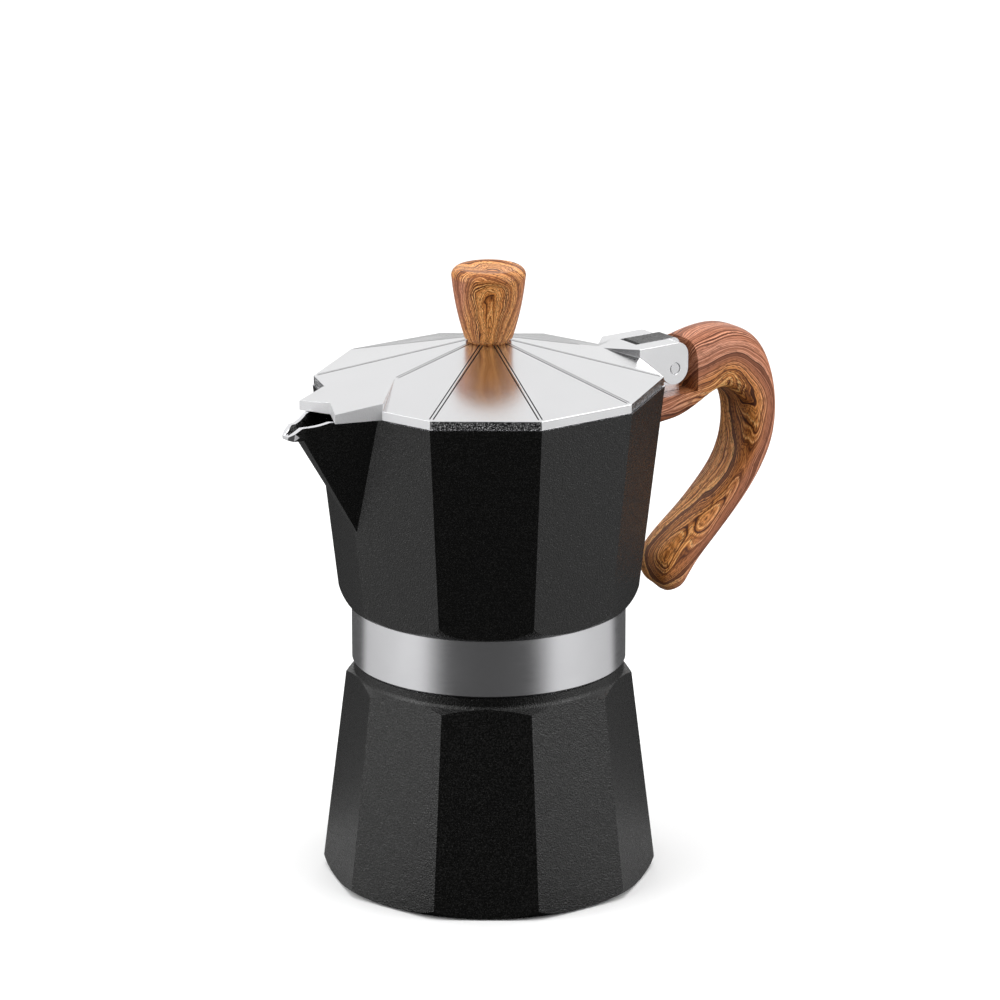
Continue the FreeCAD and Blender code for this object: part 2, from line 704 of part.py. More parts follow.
def make_knob():
    knob = new_body("knob")
    base = "lid_peak_z"
    turned(knob, "form", [
        ("0", base),
        ("knob_base_r - 0.8", base),
        ("knob_base_r - 0.8", f"{base} + knob_foot"),
        ("knob_base_r", f"{base} + knob_foot", "72", 1),
        ("knob_r", f"{base} + knob_height - 2.6", "2.1", 1),
        ("knob_r - 1.9", f"{base} + knob_height"),
        ("knob_r - 2.4", f"{base} + knob_height", "30", -1),
        ("0", f"{base} + knob_height - 0.8"),
    ])
    socket = circle(new_sketch(knob, "socket", "XY_Plane", f"{base} - 1"), "0", "0", "insert_r + 0.03")
    raised(knob, "socket", socket, "11", cut=True, flip=True)

    insert = new_body("knob_insert")
    turned(insert, "sleeve", [
        ("knob_screw_r + 0.03", base),
        ("insert_r", base),
        ("insert_r", f"{base} + 9.5"),
        ("knob_screw_r + 0.03", f"{base} + 9.5"),
    ])

    under = "lid_peak_z - lid_wall"
    washer = new_body("knob_washer")
    turned(washer, "ring", [
        ("knob_screw_r + 0.1", f"{under} - 0.6"),
        ("knob_head_r + 0.9", f"{under} - 0.6"),
        ("knob_head_r + 0.9", under),
        ("knob_screw_r + 0.1", under),
    ])

    screw = new_body("knob_screw")
    turned(screw, "form", [
        ("0", f"{under} - 2.4"),
        ("knob_head_r - 0.8", f"{under} - 2.4", "1.1", 1),
        ("knob_head_r", f"{under} - 1.6"),
        ("knob_head_r", f"{under} - 0.6"),
        ("knob_screw_r", f"{under} - 0.6"),
        ("knob_screw_r", f"{base} + 7.6"),
        ("knob_screw_r - 0.4", f"{base} + 8"),
        ("0", f"{base} + 8"),
    ])
    slot = outline(new_sketch(screw, "slot"), [
        ("-0.45", f"{under} - 3"), ("0.45", f"{under} - 3"),
        ("0.45", f"{under} - 1.5"), ("-0.45", f"{under} - 1.5"),
    ])
    raised(screw, "slot", slot, "4 * knob_head_r", cut=True, both_ways=True)
    return [knob, insert, washer, screw]


def make_hinge_pin():
    pin = new_body("hinge_pin")
    turned(pin, "rod", [
        ("0", "-hinge_half"),
        ("pin_r - 0.2", "-hinge_half"),
        ("pin_r", "-hinge_half + 0.2"),
        ("pin_r", "hinge_half - 0.2"),
        ("pin_r - 0.2", "hinge_half"),
        ("0", "hinge_half"),
    ])
    place(pin, "hinge_x", "0", "hinge_z", **ALONG_Y)
    return pin


# ---------------------------------------------------------------- handle and its screw
# Stations along the handle in side view: the back's point and the front's point, each measured outwards
# from the rim corner and upwards from the rim, and the half width as a share of the handle's.
HANDLE_STATIONS = [
    (-6.1, 1.0, -6.1, -17.6, 1.0), (3.9, 2.0, 3.9, -17.4, 1.0), (11.9, 3.0, 11.4, -16.5, 1.0),
    (17.4, 3.9, 16.4, -14.6, 1.0), (22.9, 4.9, 20.7, -12.3, 1.0), (28.9, 5.0, 24.3, -11.0, 1.0),
    (34.9, 2.9, 27.9, -11.3, 1.0), (39.7, -2.9, 30.9, -13.5, 1.0), (42.2, -10.5, 32.8, -16.9, 1.0),
    (42.9, -17.9, 33.4, -21.5, 1.0), (42.0, -24.9, 32.9, -26.5, 1.0), (39.5, -31.1, 30.8, -31.7, 0.99),
    (35.5, -37.3, 27.1, -36.3, 0.98), (30.5, -43.3, 22.7, -40.3, 0.96), (25.3, -48.7, 17.9, -44.1, 0.94),
    (20.9, -53.1, 13.9, -46.9, 0.92), (18.2, -56.1, 10.1, -49.9, 0.9), (16.1, -59.1, 7.2, -53.3, 0.86),
    (14.7, -61.5, 6.5, -56.9, 0.76), (13.1, -63.1, 7.3, -60.1, 0.52), (10.9, -63.2, 10.0, -62.6, 0.08),
]
SECTION_POINTS = 24
SECTION_SQUARENESS = 3.4


def handle_section(back_out, back_up, front_out, front_up, share):
    """Rounded rectangle between the front and the back, across the handle's width."""
    corner = FreeCAD.Vector(number("rim_r"), 0, number("rim_z"))
    back = corner + FreeCAD.Vector(back_out, 0, back_up)
    front = corner + FreeCAD.Vector(front_out, 0, front_up)
    middle = (back + front) * 0.5
    reach = (back - front) * 0.5
    width = FreeCAD.Vector(0, number("handle_half") * share, 0)
    points = []
    for index in range(SECTION_POINTS + 1):
        angle = math.pi + 2 * math.pi * index / SECTION_POINTS
        along = math.copysign(abs(math.cos(angle)) ** (2 / SECTION_SQUARENESS), math.cos(angle))
        across = math.copysign(abs(math.sin(angle)) ** (2 / SECTION_SQUARENESS), math.sin(angle))
        points.append(middle + reach * along + width * across)
    curve = Part.BSplineCurve()
    curve.interpolate(points[:-1] + points[:1])
    return Part.Wire([curve.toShape()])


def make_handle():
    blank = doc.addObject("Part::Feature", "handle_blank")
    blank.Shape = Part.makeLoft([handle_section(*station) for station in HANDLE_STATIONS], True, False)

    def box(name, low, high):
        item = doc.addObject("Part::Box", f"handle_{name}")
        for side, index in (("Length", 0), ("Width", 1), ("Height", 2)):
            item.setExpression(side, expression(f"({high[index]}) - ({low[index]})"))
        for letter, text in zip("xyz", low):
            item.setExpression(f"Placement.Base.{letter}", expression(text))
        return item

    def bore(name, radius, low, high):
        item = doc.addObject("Part::Cylinder", f"handle_{name}")
        item.setExpression("Radius", expression(radius))
        item.setExpression("Height", expression(f"({high}) - ({low})"))
        item.setExpression("Placement.Base.x", expression("screw_x"))
        item.setExpression("Placement.Base.z", expression(low))
        return item

    seat_rings = []
    for name, height in (("low", "ledge_z - 20"), ("high", "rim_z + 1")):
        ring = doc.addObject("Part::RegularPolygon", f"handle_seat_{name}")
        ring.Polygon = 10
        ring.setExpression(
            "Circumradius", expression(f"rim_r - chamber_draft * (rim_z - ({height})) + fit"))
        ring.setExpression("Placement.Base.z", expression(height))
        seat_rings.append(ring)
    seat = doc.addObject("Part::Loft", "handle_seat")
    seat.Sections = seat_rings
    seat.Solid = True
    seat.Ruled = True

    cuts = [
        box("notch", ("rim_r - 12", "-20", "ledge_z"), ("rim_r + notch_out", "20", "rim_z + 20")),
        box("tang_slot", ("rim_r - 12", "-lug_half - fit", "tang_z - fit"),
            ("lug_back + fit", "lug_half + fit", "rim_z + 20")),
        bore("screw_hole", "handle_screw_r + fit", "tang_z - 8", "tang_z + 1"),
        bore("counterbore", "handle_head_r + 0.4", "tang_z - 12", "tang_z - fit - 1.6"),
        seat,
    ]
    tools = doc.addObject("Part::MultiFuse", "handle_cuts")
    tools.Shapes = cuts
    handle = doc.addObject("Part::Cut", "handle_form")
    handle.Label = "handle"
    handle.Base = blank
    handle.Tool = tools
    return handle


def make_handle_screw():
    seat = "tang_z - fit - 1.6"
    washer = new_body("handle_washer")
    turned(washer, "ring", [
        ("handle_screw_r + 0.1", "-0.5"),
        ("handle_head_r + 0.2", "-0.5"),
        ("handle_head_r + 0.2", "0"),
        ("handle_screw_r + 0.1", "0"),
    ])
    screw = new_body("handle_screw")
    turned(screw, "form", [
        ("0", "-2.3"),
        ("handle_head_r - 0.6", "-2.3", "0.9", 1),
        ("handle_head_r", "-1.7"),
        ("handle_head_r", "-0.5"),
        ("handle_screw_r", "-0.5"),
        ("handle_screw_r", "7.0"),
        ("handle_screw_r - 0.4", "7.4"),
        ("0", "7.4"),
    ])
    slot = outline(new_sketch(screw, "slot"), [
        ("-0.5", "-3"), ("0.5", "-3"), ("0.5", "-1.3"), ("-0.5", "-1.3"),
    ])
    raised(screw, "slot", slot, "4 * handle_head_r", cut=True, both_ways=True)
    for body in (washer, screw):
        place(body, "screw_x", "0", seat)
    return [washer, screw]


# ---------------------------------------------------------------- build, check and write
nodes = [make_boiler(), *make_valve(), *make_filter_set(), make_collector(), make_column(), make_lid()]
nodes += [*make_knob(), make_hinge_pin(), make_handle(), *make_handle_screw()]
doc.recompute()

failed = [item.Label for item in doc.Objects if "Invalid" in item.State or "Error" in item.State]
if failed:
    raise SystemExit(f"failed objects: {failed}")
os.makedirs("parts", exist_ok=True)
for node in nodes:
    shape = node.Shape
    if shape.isNull() or not shape.isValid() or shape.Volume <= 0:
        raise SystemExit(f"bad shape: {node.Label}")
    print(f"{node.Label:14s} solids {len(shape.Solids)} volume {shape.Volume:10.1f}")
    shape.exportStep(f"parts/{node.Label}.step")
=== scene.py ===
"""Studio view of a stove-top moka pot: ten facets, black coating, bare metal band, wood-effect grips."""
import json
import math

import bmesh
import bpy
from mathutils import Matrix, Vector


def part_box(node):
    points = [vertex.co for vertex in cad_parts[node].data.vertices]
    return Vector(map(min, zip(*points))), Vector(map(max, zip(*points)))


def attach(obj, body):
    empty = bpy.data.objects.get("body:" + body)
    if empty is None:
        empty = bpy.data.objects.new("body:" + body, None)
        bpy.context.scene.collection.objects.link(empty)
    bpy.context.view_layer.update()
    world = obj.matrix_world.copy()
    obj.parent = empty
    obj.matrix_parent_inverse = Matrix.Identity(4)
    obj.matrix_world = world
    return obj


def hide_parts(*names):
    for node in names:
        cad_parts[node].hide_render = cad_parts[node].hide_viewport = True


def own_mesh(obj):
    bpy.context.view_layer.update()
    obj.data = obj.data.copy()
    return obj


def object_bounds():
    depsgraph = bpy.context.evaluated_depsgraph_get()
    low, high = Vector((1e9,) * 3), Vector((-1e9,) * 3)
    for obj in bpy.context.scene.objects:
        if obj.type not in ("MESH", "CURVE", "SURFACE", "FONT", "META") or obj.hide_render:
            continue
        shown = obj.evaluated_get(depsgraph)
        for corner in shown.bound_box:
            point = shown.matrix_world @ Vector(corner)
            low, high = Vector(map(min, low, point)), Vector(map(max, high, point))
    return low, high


MM = 0.001
X, Y, Z = range(3)
FACETS = 10
CAMERA_AZIMUTH = -35.2

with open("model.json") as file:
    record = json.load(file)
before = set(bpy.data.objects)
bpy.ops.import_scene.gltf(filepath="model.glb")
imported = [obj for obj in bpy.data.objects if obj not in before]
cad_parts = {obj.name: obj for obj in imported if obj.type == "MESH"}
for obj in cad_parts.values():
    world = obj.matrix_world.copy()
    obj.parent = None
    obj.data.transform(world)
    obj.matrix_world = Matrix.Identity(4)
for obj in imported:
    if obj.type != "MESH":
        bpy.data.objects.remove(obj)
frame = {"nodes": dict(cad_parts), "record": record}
cad_low, cad_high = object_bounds()
nodes = frame["nodes"]


# ---------------------------------------------------------------- places read from the frame
def low(node, axis):
    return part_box(node)[0][axis]


def high(node, axis):
    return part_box(node)[1][axis]


def towards(azimuth, elevation=0.0):
    """Unit vector for angles in degrees; azimuth 0 is in front of the pot at -Y, and turns towards +X."""
    turn = math.radians(azimuth)
    rise = math.radians(elevation)
    return Vector((math.sin(turn) * math.cos(rise), -math.cos(turn) * math.cos(rise), math.sin(rise)))


# ---------------------------------------------------------------- node helpers
class Nodes:
    """Short calls that add nodes to self.tree and link or set their sockets."""

    def node(self, kind, settings=None, **links):
        made = self.tree.nodes.new(kind)
        for key, value in (settings or {}).items():
            setattr(made, key, value)
        for socket, value in links.items():
            self.feed(made.inputs[socket.replace("_", " ")], value)
        return made

    def feed(self, socket, value):
        if isinstance(value, bpy.types.NodeSocket):
            self.tree.links.new(value, socket)
        else:
            socket.default_value = value

    def math(self, operation, first, second=0.0):
        made = self.node("ShaderNodeMath", {"operation": operation})
        self.feed(made.inputs[0], first)
        self.feed(made.inputs[1], second)
        return made.outputs[0]

    def between(self, value, start, end, low_value=0.0, high_value=1.0):
        """Smooth change from the low value at start to the high value at end."""
        made = self.node("ShaderNodeMapRange", {"interpolation_type": "SMOOTHSTEP"}, Value=value)
        sockets = ("From Min", "From Max", "To Min", "To Max")
        for socket, number in zip(sockets, (start, end, low_value, high_value)):
            self.feed(made.inputs[socket], number)
        return made.outputs["Result"]

    def facing(self, direction, fixed):
        """Cosine of the angle between a direction and a fixed one."""
        made = self.node("ShaderNodeVectorMath", {"operation": "DOT_PRODUCT"})
        self.feed(made.inputs[0], direction)
        self.feed(made.inputs[1], fixed)
        return made.outputs["Value"]

    def seen_directly(self):
        return self.node("ShaderNodeLightPath").outputs["Is Camera Ray"]


class Finish(Nodes):
    """A material with one Principled shader."""

    def __init__(self, name, **sockets):
        self.material = bpy.data.materials.new(name)
        self.material.use_nodes = True
        self.tree = self.material.node_tree
        self.shader = self.tree.nodes["Principled BSDF"]
        for socket, value in sockets.items():
            self.shader.inputs[socket.replace("_", " ")].default_value = value

    def noise(self, vector, scale, detail):
        return self.node("ShaderNodeTexNoise", Vector=vector, Scale=scale, Detail=detail).outputs["Fac"]

    def lines(self, value, scale, detail):
        """Unevenly spaced lines across a rising value."""
        line = {"noise_dimensions": "1D"}
        return self.node("ShaderNodeTexNoise", line, W=value, Scale=scale, Detail=detail).outputs["Fac"]

    def attribute(self, name, output="Fac"):
        return self.node("ShaderNodeAttribute", {"attribute_name": name}).outputs[output]

    def stretched(self, vector, scale):
        return self.node("ShaderNodeMapping", Vector=vector, Scale=scale).outputs["Vector"]

    def place(self):
        return self.node("ShaderNodeTexCoord").outputs["Object"]

    def out(self, vector):
        """Distance from the pot's axis."""
        flat = self.stretched(vector, (1.0, 1.0, 0.0))
        return self.node("ShaderNodeVectorMath", {"operation": "LENGTH"}, Vector=flat).outputs["Value"]

    def axis(self, vector, letter):
        return self.node("ShaderNodeSeparateXYZ", Vector=vector).outputs[letter]

    def ramp(self, value, stops):
        made = self.node("ShaderNodeValToRGB", Fac=value)
        elements = made.color_ramp.elements
        while len(elements) < len(stops):
            elements.new(0.5)
        for element, (position, colour) in zip(elements, stops):
            element.position = position
            element.color = (*colour, 1.0)
        return made.outputs["Color"]

    def mix(self, share, first, second):
        made = self.node("ShaderNodeMix", {"data_type": "RGBA"})
        self.feed(made.inputs["Factor"], share)
        self.feed(made.inputs["A"], first if isinstance(first, bpy.types.NodeSocket) else (*first, 1.0))
        self.feed(made.inputs["B"], second if isinstance(second, bpy.types.NodeSocket) else (*second, 1.0))
        return made.outputs["Result"]

    def colour(self, value):
        self.feed(self.shader.inputs["Base Color"], value)

    def rough(self, value):
        self.feed(self.shader.inputs["Roughness"], value)

    def fed_by(self, socket):
        """What the shader's socket is linked to so far."""
        return self.shader.inputs[socket].links[0].from_socket

    def bump(self, height, distance):
        """Adds to any bump that is there already."""
        made = self.node("ShaderNodeBump", Height=height, Distance=distance)
        previous = self.shader.inputs["Normal"].links
        if previous:
            self.feed(made.inputs["Normal"], previous[0].from_socket)
        self.feed(self.shader.inputs["Normal"], made.outputs["Normal"])


# ---------------------------------------------------------------- sizes, some read from the frame and some given, in millimetres
KNOB_BASE = low("knob", Z) / MM
KNOB_TOP = high("knob", Z) / MM
KNOB_R = high("knob", X) / MM
BAND_TOP = high("upper_filter", Z) / MM + 0.6
HINGE_X = (low("hinge_pin", X) + high("hinge_pin", X)) / 2 / MM
HINGE_Z = (low("hinge_pin", Z) + high("hinge_pin", Z)) / 2 / MM
RIM_TOP = HINGE_Z + 2.1
RIM_R = HINGE_X - 8.24
CHAMBER_DRAFT = 0.1153
CHAMBER_WALL = 1.2
LID_EDGE = RIM_TOP + 2.4
LID_R = 43.8
LID_TOP_R = 5.9
COVER_START = LID_R - 8
LIP_START = 46.0
NOSE = low("collector", X) / MM
SEAT = high("boiler", Z) / MM - 9.3
BOILER_FLOOR = 3.0


# ---------------------------------------------------------------- finishes
PAINT_SHINE = 0.5
PAINT_GRAIN = 0.15 * MM
SCRATCH_DEPTH = 0.004 * MM
BRUSHED_DEPTH = 0.006 * MM
STIPPLE_DEPTH = 0.22 * MM
CAST_DEPTH = 0.12 * MM
PORE_DEPTH = 0.03 * MM
SOFT_RUBBER_DEPTH = 0.02 * MM


def metal_scratches(finish, place, base, variation, rough_low, rough_high):
    """Cloudy tone and roughness of a lightly worked metal."""
    clouds = finish.noise(place, 90.0, 4.0)
    fine = finish.noise(place, 2600.0, 2.0)
    light = tuple(min(1.0, c + variation) for c in base)
    dark = tuple(c - variation for c in base)
    finish.colour(finish.mix(clouds, dark, light))
    finish.rough(finish.between(finish.math("ADD", clouds, fine), 0.6, 1.4, rough_low, rough_high))
    finish.bump(fine, SCRATCH_DEPTH)


def make_lid_metal():
    """Polished faces, dark stipple on the skirt below every other one, and rough walls on the spout cover."""
    finish = Finish("polished_aluminium", Metallic=1.0)
    place = finish.place()
    metal_scratches(finish, place, (0.80, 0.80, 0.81), 0.03, 0.16, 0.26)
    skirt = finish.between(finish.axis(place, "Z"), (LID_EDGE - 0.02) * MM, (LID_EDGE - 0.12) * MM)
    within = finish.between(finish.out(place), (LID_R + 0.6) * MM, (LID_R + 0.2) * MM)
    turn = finish.math("ARCTAN2", finish.axis(place, "Y"), finish.axis(place, "X"))
    turns = finish.math("SINE", finish.math("MULTIPLY", turn, FACETS / 2))
    every_other = finish.between(turns, 0.0, 0.06)
    rough_side = finish.math("MULTIPLY", finish.math("MULTIPLY", skirt, within), every_other)
    stipple = finish.noise(place, 3400.0, 2.0)
    specks = finish.math("MULTIPLY", finish.between(stipple, 0.60, 0.48), rough_side)
    finish.colour(finish.mix(specks, finish.fed_by("Base Color"), (0.05, 0.05, 0.055)))
    finish.bump(finish.math("MULTIPLY", stipple, rough_side), STIPPLE_DEPTH)
    cast = finish.attribute("cast")
    finish.bump(finish.math("MULTIPLY", stipple, cast), CAST_DEPTH)
    finish.rough(finish.math("ADD", finish.fed_by("Roughness"), finish.math("MULTIPLY", cast, 0.45)))
    return finish.material


def make_metal(name, base, variation, rough_low, rough_high):
    finish = Finish(name, Metallic=1.0)
    metal_scratches(finish, finish.place(), base, variation, rough_low, rough_high)
    return finish.material


def paint_colour(finish, place):
    """Near black with fine light flecks."""
    flecks = finish.between(finish.noise(place, 2600.0, 1.0), 0.56, 0.72)
    soft = finish.noise(place, 1200.0, 3.0)
    body = finish.mix(soft, (0.0004, 0.0004, 0.0003), (0.0016, 0.0015, 0.0013))
    return finish.mix(flecks, body, (0.006, 0.0057, 0.0052))


def make_paint():
    """Coating, and the bare metal under it where a face's "bare" share is 1."""
    finish = Finish("black_paint", Specular_IOR_Level=PAINT_SHINE)
    place = finish.place()
    bare = finish.attribute("bare")
    paint = finish.math("SUBTRACT", 1.0, bare)
    clouds = finish.noise(place, 120.0, 4.0)
    brushed = finish.noise(finish.stretched(place, (1.0, 1.0, 14.0)), 260.0, 4.0)
    metal = finish.mix(clouds, (0.80, 0.80, 0.82), (0.88, 0.88, 0.90))
    finish.colour(finish.mix(paint, metal, paint_colour(finish, place)))
    finish.feed(finish.shader.inputs["Metallic"], bare)
    coarse = finish.between(finish.noise(place, 2600.0, 1.0), 0.35, 0.65, 0.0, 0.20)
    finish.rough(finish.math("ADD", finish.math("MULTIPLY", paint, coarse),
                             finish.between(brushed, 0.3, 0.7, 0.16, 0.24)))
    finish.bump(finish.math("MULTIPLY", finish.noise(place, 3000.0, 1.0), paint), PAINT_GRAIN)
    finish.bump(finish.math("MULTIPLY", brushed, bare), BRUSHED_DEPTH)
    return finish.material


def make_wood():
    """Printed wood grain that runs along each piece's own grain coordinates, in millimetres, with painted
    light and shade: its tone share mixes a lit and a shaded copy of the grain colours.
    """
    finish = Finish("wood_effect", Specular_IOR_Level=0.3)
    grain = finish.attribute("grain", "Vector")
    tone = finish.attribute("tone")
    drift = finish.noise(finish.stretched(grain, (0.04, 0.11, 0.11)), 1.0, 2.0)
    across = finish.math("MULTIPLY", finish.axis(grain, "Y"), 0.75)
    depth = finish.math("MULTIPLY", finish.axis(grain, "Z"), 0.85)
    flow = finish.math("ADD", finish.math("ADD", across, depth), finish.math("MULTIPLY", drift, 7.0))
    wide = finish.lines(flow, 0.5, 1.0)
    fine = finish.lines(flow, 3.0, 2.0)
    line = finish.math("ADD", finish.math("MULTIPLY", wide, 0.35), finish.math("MULTIPLY", fine, 0.65))
    # light and dark are a lit and a shaded copy of the grain colours: painted light and shade.
    light = finish.ramp(line, [(0.39, (0.085, 0.022, 0.009)), (0.46, (0.310, 0.102, 0.045)),
                               (0.54, (0.500, 0.190, 0.100)), (0.63, (0.780, 0.370, 0.230))])
    dark = finish.ramp(line, [(0.41, (0.060, 0.014, 0.002)), (0.47, (0.380, 0.120, 0.024)),
                              (0.54, (0.780, 0.300, 0.075)), (0.61, (1.000, 0.540, 0.190))])
    body = finish.mix(tone, light, dark)
    pores = finish.noise(finish.stretched(grain, (0.55, 4.2, 4.2)), 1.0, 2.0)
    pore_strength = finish.between(tone, 0.0, 1.0, 0.5, 0.85)
    pore_share = finish.math("MULTIPLY", finish.between(pores, 0.50, 0.62), pore_strength)
    finish.colour(finish.mix(pore_share, body, (0.110, 0.030, 0.008)))
    finish.rough(finish.between(pores, 0.35, 0.7, 0.34, 0.52))
    finish.bump(pores, PORE_DEPTH)
    return finish.material


def make_seal(name):
    finish = Finish(name, Roughness=0.55, Subsurface_Weight=0.15)
    finish.shader.inputs["Subsurface Radius"].default_value = (0.002, 0.0018, 0.0015)
    place = finish.place()
    finish.colour(finish.mix(finish.noise(place, 400.0, 3.0), (0.74, 0.73, 0.69), (0.82, 0.81, 0.77)))
    finish.bump(finish.noise(place, 2000.0, 2.0), SOFT_RUBBER_DEPTH)
    return finish.material


# ---------------------------------------------------------------- mesh helpers
JOIN_GAP = 0.002 * MM
FLAT_FACE = 20 * MM ** 2
FLAT_ANGLE = math.radians(0.4)
CREASE_ANGLE = math.radians(3)
LEVEL_NORMALS = ("WEIGHTED_NORMAL", {"mode": "FACE_AREA", "keep_sharp": True, "weight": 90})
MOST_CUTS = 6


def new_piece(name, mesh, body, slot, *replaced):
    piece = bpy.data.objects.new(name, mesh)
    bpy.context.scene.collection.objects.link(piece)
    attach(piece, body)
    if replaced:
        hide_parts(*replaced)
    return piece


def baked(name, mesh, modifiers):
    """The mesh after a list of (type, settings) modifiers."""
    holder = bpy.data.objects.new(name, mesh)
    bpy.context.scene.collection.objects.link(holder)
    for kind, settings in modifiers:
        modifier = holder.modifiers.new(kind.lower(), kind)
        for key, value in settings.items():
            setattr(modifier, key, value)
    graph = bpy.context.evaluated_depsgraph_get()
    result = bpy.data.meshes.new_from_object(holder.evaluated_get(graph))
    result.name = name
    bpy.data.objects.remove(holder)
    return result


def merged_copy(node):
    """The node's mesh with its flat faces whole, and sharp creases between the large ones."""
    work = bmesh.new()
    work.from_mesh(nodes[node].data)
    bmesh.ops.remove_doubles(work, verts=work.verts, dist=JOIN_GAP)
    bmesh.ops.dissolve_limit(work, angle_limit=FLAT_ANGLE, verts=work.verts, edges=work.edges)
    for edge in work.edges:
        flats = [face for face in edge.link_faces if face.calc_area() > FLAT_FACE]
        edge.smooth = not (len(flats) == 2 and edge.calc_face_angle() > CREASE_ANGLE)
    for face in work.faces:
        face.smooth = True
    mesh = bpy.data.meshes.new(node + "_merged")
    work.to_mesh(mesh)
    work.free()
    return mesh


def softened(node, width, sharp):
    """A copy of the node whose edges past the sharp angle, in degrees, carry a small rounding."""
    rounding = {"width": width, "segments": 3, "limit_method": "ANGLE", "angle_limit": math.radians(sharp),
                "harden_normals": False, "use_clamp_overlap": True, "miter_outer": "MITER_ARC"}
    return baked(node + "_soft", merged_copy(node), [("BEVEL", rounding), LEVEL_NORMALS])


def paint_mesh(mesh, material):
    mesh.materials.clear()
    mesh.materials.append(material)


def show_node(node, material):
    paint_mesh(nodes[node].data, material)


def finely_cut(mesh, longest):
    """Split every edge that is longer than the given length, so that attributes follow the form."""
    work = bmesh.new()
    work.from_mesh(mesh)
    bmesh.ops.triangulate(work, faces=work.faces)
    for _ in range(MOST_CUTS):
        long_edges = [edge for edge in work.edges if edge.calc_length() > longest]
        if not long_edges:
            break
        bmesh.ops.subdivide_edges(work, edges=long_edges, cuts=1)
        bmesh.ops.triangulate(work, faces=[face for face in work.faces if len(face.verts) > 3])
    work.to_mesh(mesh)
    work.free()


def give_grain(mesh, grain_of):
    """Store each point's grain coordinates, in millimetres, and its tone, the share of painted shade in its
    colours, from light 0 to dark 1.
    """
    found = [grain_of(vertex.co / MM) for vertex in mesh.vertices]
    grain = mesh.attributes.new("grain", "FLOAT_VECTOR", "POINT")
    grain.data.foreach_set("vector", [number for place, share in found for number in place])
    tone = mesh.attributes.new("tone", "FLOAT", "POINT")
    tone.data.foreach_set("value", [share for place, share in found])


def mark_faces(mesh, name, share_of):
    """Store a share for each face from its middle, in millimetres, and its normal."""
    values = [share_of(face.center / MM, face.normal) for face in mesh.polygons]
    shares = mesh.attributes.new(name, "FLOAT", "FACE")
    shares.data.foreach_set("value", values)


def smooth_share(value, start, end):
    share = min(1.0, max(0.0, (value - start) / (end - start)))
    return share * share * (3 - 2 * share)


def lathe(name, profile, steps):
    """Surface turned about the Z axis from (radius, height) points in millimetres, closed at both ends."""
    work = bmesh.new()
    chain = [work.verts.new((radius * MM, 0, height * MM)) for radius, height in profile]
    edges = [work.edges.new(pair) for pair in zip(chain, chain[1:])]
    bmesh.ops.spin(work, geom=chain + edges, cent=(0, 0, 0), axis=(0, 0, 1), angle=2 * math.pi,
                   steps=steps, use_merge=True)
    bmesh.ops.remove_doubles(work, verts=work.verts, dist=0.0005 * MM)
    bmesh.ops.recalc_face_normals(work, faces=work.faces)
    mesh = bpy.data.meshes.new(name)
    work.to_mesh(mesh)
    work.free()
    mesh.shade_smooth()
    mesh.set_sharp_from_angle(angle=math.radians(40))
    return mesh


def arc(start, end, radius, side, count):
    """Points of an arc between two (radius, height) points; side 1 bulges to the right of the way there."""
    first = Vector(start)
    last = Vector(end)
    chord = last - first
    half = chord.length / 2
    outward = Vector((chord.y, -chord.x)).normalized() * side
    centre = (first + last) / 2 - outward * math.sqrt(radius * radius - half * half)
    begin = math.atan2(first.y - centre.y, first.x - centre.x)
    sweep = 2 * math.asin(half / radius) * side
    return [
        (centre.x + radius * math.cos(begin + sweep * step / count),
         centre.y + radius * math.sin(begin + sweep * step / count))
        for step in range(count + 1)
    ]


# ---------------------------------------------------------------- wood-effect pieces
# Middle line of the handle in side view, outwards and then down: how far out and up from the pin.
HANDLE_LINE = [
    (-17.0, -6.0), (-3.0, -6.0), (9.0, -2.8), (18.5, -0.2), (25.5, -4.8), (30.0, -12.5), (28.8, -23.0),
    (23.0, -33.5), (13.5, -44.5), (5.0, -53.0), (1.0, -60.5), (2.0, -68.0),
]


def smooth_line(points, steps):
    """Points of a smooth curve through the given ones."""
    line = []
    last = len(points) - 1
    for index in range(last):
        before = Vector(points[max(index - 1, 0)])
        start = Vector(points[index])
        end = Vector(points[index + 1])
        after = Vector(points[min(index + 2, last)])
        for step in range(steps):
            share = step / steps
            line.append(
                ((2 * start) + (end - before) * share
                 + (2 * before - 5 * start + 4 * end - after) * share ** 2
                 + (3 * start - before - 3 * end + after) * share ** 3) / 2
            )
    line.append(Vector(points[last]))
    return line


def make_handle():
    """The grip, with grain along its bend, painted shade on its inner side that faces the pot, and the same
    dark tone at its tip.
    """
    line = smooth_line([(HINGE_X + out, HINGE_Z + up) for out, up in HANDLE_LINE], 12)
    lengths = [0.0]
    for start, end in zip(line, line[1:]):
        lengths.append(lengths[-1] + (end - start).length)

    def grain_of(place):
        flat = Vector((place.x, place.z))
        index = min(range(len(line)), key=lambda item: (line[item] - flat).length_squared)
        before = line[max(index - 1, 0)]
        after = line[min(index + 1, len(line) - 1)]
        along = (after - before).normalized()
        offset = flat - line[index]
        outward = Vector((-along.y, along.x))
        depth = offset.dot(outward)
        travel = lengths[index] + offset.dot(along)
        # The inner side, facing the pot and in shade, takes the shaded grain colours: painted shade.
        inner = smooth_share(-depth, -1.2, 3.6) * smooth_share(travel, 14.0, 34.0)
        tip = smooth_share(travel, lengths[-1] - 26, lengths[-1] - 8)
        return (travel, place.y, depth), max(inner, tip * smooth_share(-depth, -4.5, 1.0))

    mesh = softened("handle", 0.5 * MM, sharp=40.0)
    finely_cut(mesh, 1.3 * MM)
    mesh.shade_smooth()
    mesh.set_sharp_from_angle(angle=math.radians(50))
    give_grain(mesh, grain_of)
    paint_mesh(mesh, FINISHES["wood_effect"])
    new_piece("handle_grip", mesh, "upper", "wood_effect", "handle")


